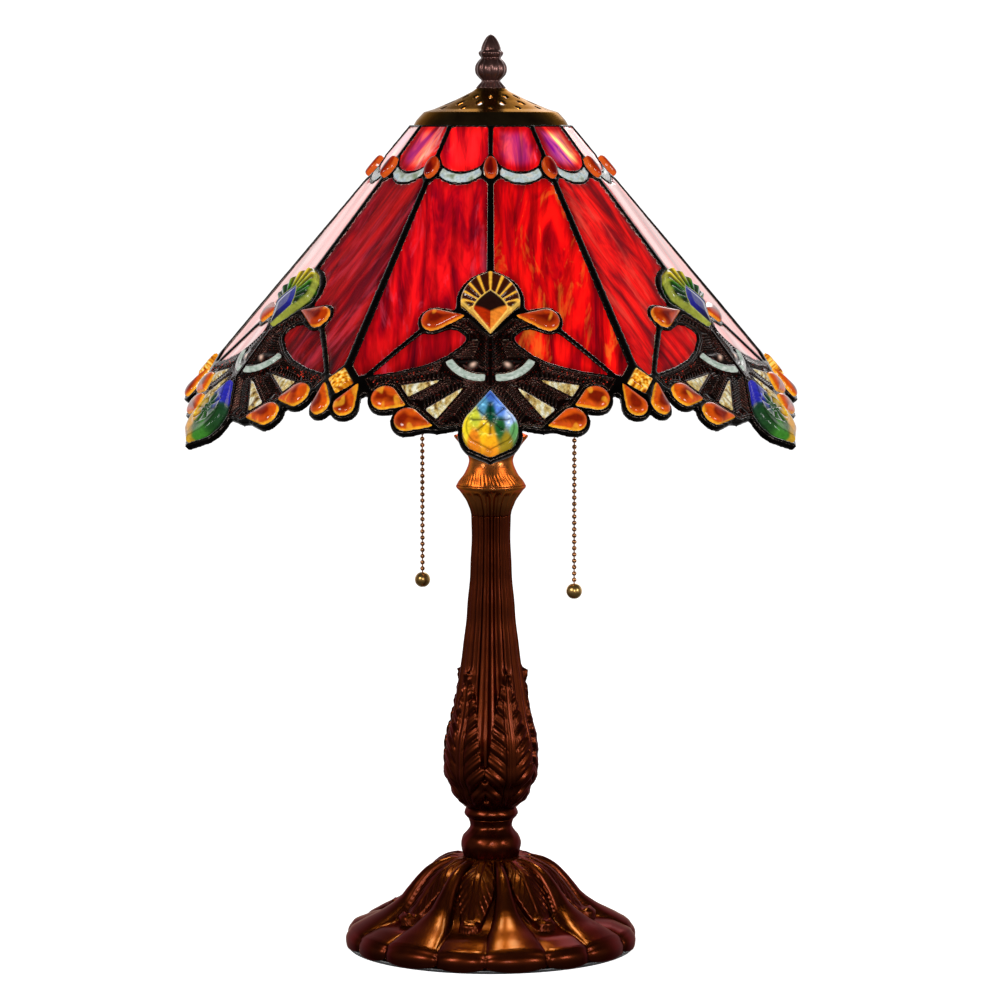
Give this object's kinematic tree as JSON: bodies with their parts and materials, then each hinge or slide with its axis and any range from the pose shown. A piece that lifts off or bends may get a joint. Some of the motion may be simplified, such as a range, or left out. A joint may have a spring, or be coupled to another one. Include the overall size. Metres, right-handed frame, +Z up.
{
  "type": "leaded glass table lamp",
  "caption": "Table lamp with a folded leaded glass shade, jewelled scalloped rim, pierced heat cap, finial, fluted bronze stem, lobed base and bead pull chains.",
  "frame": {"origin": "centre of the base where it stands", "axes": "+Z up along the stem, -Y towards the front motif of the shade"},
  "size_m": [0.4076, 0.4508, 0.61],
  "materials": {
    "red_glass": "streaky leaded glass",
    "pearl_glass": "iridised opal glass",
    "ripple_glass": "clear rippled glass",
    "amber_jewel": "pressed amber glass",
    "ruby_jewel": "pressed red glass",
    "blended_jewel": "pressed glass, blue to amber",
    "bulb_glass": "frosted",
    "came": "black patina on solder",
    "filigree_metal": "dark patina",
    "antique_bronze": "satin mahogany bronze",
    "cap_bronze": "aged olive bronze",
    "antique_brass": "aged satin",
    "copper_chain": "polished",
    "steel": "zinc plated",
    "iron": "rough cast",
    "felt": "felt",
    "phenolic": "moulded",
    "bushing_plastic": "moulded"
  },
  "bodies": {
    "root": {"baluster": "antique_bronze", "base_casting": "antique_bronze", "base_ring": "antique_bronze", "base_weight": "iron", "bottom_plate": "steel", "chain_guide_1": "antique_brass", "chain_guide_2": "antique_brass", "cluster_arms": "antique_brass", "cluster_body": "antique_brass", "collar": "antique_bronze", "column": "antique_bronze", "cord_bushing": "bushing_plastic", "felt_pad": "felt", "lock_washer": "steel", "riser_rod": "antique_brass", "rod_nut": "steel", "screw_shell_1": "antique_brass", "screw_shell_2": "antique_brass", "shade_seat_nut": "antique_brass", "shade_seat_washer": "antique_brass", "socket_cap_1": "antique_brass", "socket_cap_2": "antique_brass", "socket_shell_1": "antique_brass", "socket_shell_2": "antique_brass", "stem_cup": "antique_bronze", "stem_rod": "steel", "switch_body_1": "phenolic", "switch_body_2": "phenolic"},
    "shade": {"came_lattice": "came", "filigree_castings": "filigree_metal", "upper_glass_panels": "red_glass", "main_glass_panels": "red_glass", "lower_glass_panels": "red_glass", "pearl_segments": "pearl_glass", "crescent_segments": "pearl_glass", "ripple_wedges": "ripple_glass", "side_teardrops": "amber_jewel", "rim_teardrops": "amber_jewel", "corner_teardrops": "amber_jewel", "oval_jewels": "ruby_jewel", "fan_jewels": "amber_jewel", "kite_jewels": "blended_jewel", "corner_diamonds": "amber_jewel", "vented_cap": "cap_bronze", "shade_top_ring": "antique_brass"},
    "finial": {"finial": "antique_bronze"},
    "spool_1": {"switch_spool_1": "steel"},
    "pull_1": {"pull_link_1": "antique_brass"},
    "chain_1": {"pull_chain_1": "copper_chain", "ball_fob_1": "antique_brass"},
    "bulb_1": {"bulb_base_1": "steel", "bulb_glass_1": "bulb_glass"},
    "spool_2": {"switch_spool_2": "steel"},
    "pull_2": {"pull_link_2": "antique_brass"},
    "chain_2": {"pull_chain_2": "copper_chain", "ball_fob_2": "antique_brass"},
    "bulb_2": {"bulb_base_2": "steel", "bulb_glass_2": "bulb_glass"}
  },
  "joints": [
    {"name": "shade_turn", "type": "hinge", "parent": "root", "child": "shade", "pos_m": [0, 0, 0.572], "axis": [0, 0, 1], "continuous": true},
    {"name": "finial_turn", "type": "hinge", "parent": "root", "child": "finial", "pos_m": [0, 0, 0.58], "axis": [0, 0, 1], "continuous": true},
    {"name": "chain_pull_1", "type": "slide", "parent": "root", "child": "pull_1", "axis": [0, 0, -1], "range_m": [0, 0.012], "stiffness_N_per_m": 120, "springref_m": -0.006},
    {"name": "spool_turn_1", "type": "hinge", "parent": "root", "child": "spool_1", "pos_m": [0.02736, -0.01845, 0.402], "axis": [0.3256, 0.9455, 0], "range_deg": [0, 120]},
    {"name": "chain_swing_1", "type": "hinge", "parent": "pull_1", "child": "chain_1", "pos_m": [0.05506, -0.02799, 0.391], "axis": [0, 1, 0], "range_deg": [-12, 12]},
    {"name": "bulb_turn_1", "type": "hinge", "parent": "root", "child": "bulb_1", "pos_m": [0.02736, -0.01845, 0.43], "axis": [0, 0, 1], "continuous": true},
    {"name": "chain_pull_2", "type": "slide", "parent": "root", "child": "pull_2", "axis": [0, 0, -1], "range_m": [0, 0.012], "stiffness_N_per_m": 120, "springref_m": -0.006},
    {"name": "spool_turn_2", "type": "hinge", "parent": "root", "child": "spool_2", "pos_m": [-0.02736, 0.01845, 0.402], "axis": [-0.7547, -0.6561, 0], "range_deg": [0, 120]},
    {"name": "chain_swing_2", "type": "hinge", "parent": "pull_2", "child": "chain_2", "pos_m": [-0.04658, 0.04057, 0.391], "axis": [0, 1, 0], "range_deg": [-12, 12]},
    {"name": "bulb_turn_2", "type": "hinge", "parent": "root", "child": "bulb_2", "pos_m": [-0.02736, 0.01845, 0.43], "axis": [0, 0, 1], "continuous": true}
  ],
  "couplings": [
    {"joint": "spool_turn_1", "follows": "chain_pull_1", "rad_per_m": 166.67},
    {"joint": "spool_turn_2", "follows": "chain_pull_2", "rad_per_m": 166.67}
  ]
}
